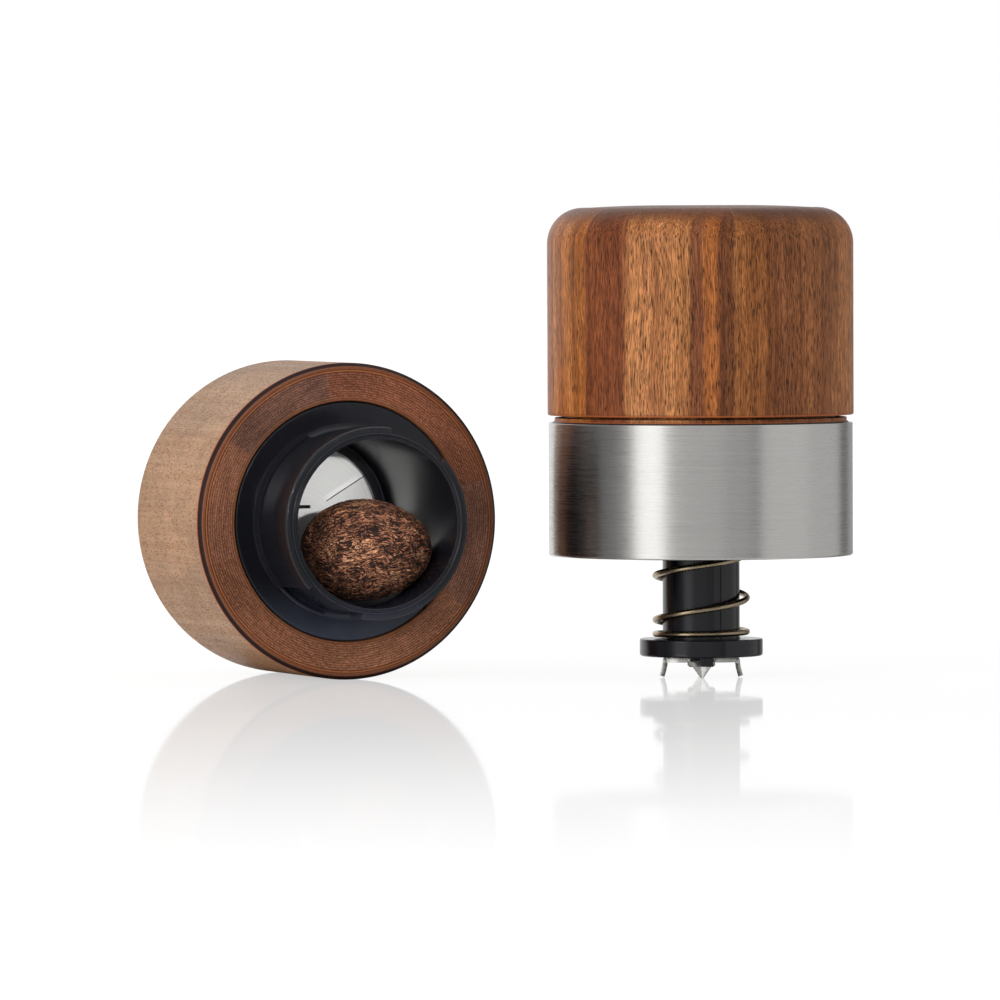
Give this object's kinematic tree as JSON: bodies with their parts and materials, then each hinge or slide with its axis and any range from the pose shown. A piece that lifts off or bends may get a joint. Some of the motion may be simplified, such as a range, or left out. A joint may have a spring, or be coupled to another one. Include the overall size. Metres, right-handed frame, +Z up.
{
  "type": "nutmeg grater",
  "caption": "Turned wood and steel nutmeg mill, open: a base with its chamber and grating disc on its side, and an upper half standing on its sprung, pronged plunger.",
  "frame": {"origin": "on the table, under the middle of the box round both halves as they lie", "axes": "+Z up; +X from the base half towards the upper half; the base's mouth faces -Y, turned 21 degrees towards +X"},
  "size_m": [0.141, 0.0696, 0.0924],
  "materials": {
    "base_wood": "oiled hardwood",
    "cap_wood": "satin lacquered hardwood staves",
    "black_moulding": "satin black",
    "brushed_steel": "brushed round the band",
    "bright_steel": "bright rolled sheet",
    "screw_steel": "plated",
    "spring_steel": "drawn wire with a straw tint",
    "glide_nylon": "natural nylon",
    "nutmeg": "dry furrowed seed"
  },
  "bodies": {
    "base": {"base_wood": "base_wood", "chamber_liner": "black_moulding", "grating_disc": "bright_steel", "disc_retainer": "black_moulding", "disc_screw_1": "screw_steel", "disc_screw_2": "screw_steel", "disc_screw_3": "screw_steel"},
    "nutmeg": {"nutmeg": "nutmeg"},
    "sleeve": {"steel_sleeve": "brushed_steel", "sleeve_core": "black_moulding", "glide_ring": "glide_nylon"},
    "cap": {"cap_wood": "cap_wood", "cap_hub": "black_moulding", "hub_screw_1": "screw_steel", "hub_screw_2": "screw_steel", "hub_screw_3": "screw_steel", "hub_circlip": "screw_steel"},
    "plunger": {"plunger_shaft": "black_moulding", "pressure_plate": "black_moulding", "prong_star": "bright_steel", "plate_screw": "screw_steel", "stop_washer": "screw_steel", "stop_screw": "screw_steel", "spring": "spring_steel"}
  },
  "joints": [
    {"name": "top_lift", "type": "slide", "parent": "base", "child": "sleeve", "axis": [0, 0, 1], "range_m": [0, 0.11]},
    {"name": "cap_turn", "type": "hinge", "parent": "sleeve", "child": "cap", "pos_m": [0.0405, -0.00489, 0.0514], "axis": [0, 0, 1], "continuous": true},
    {"name": "plunger_press", "type": "slide", "parent": "cap", "child": "plunger", "axis": [0, 0, 1], "range_m": [0, 0.024], "stiffness_N_per_m": 300, "springref_m": -0.01, "deforming": ["spring"]},
    {"name": "nutmeg_out", "type": "slide", "parent": "base", "child": "nutmeg", "axis": [0.3584, -0.9336, 0], "range_m": [0, 0.04]}
  ]
}
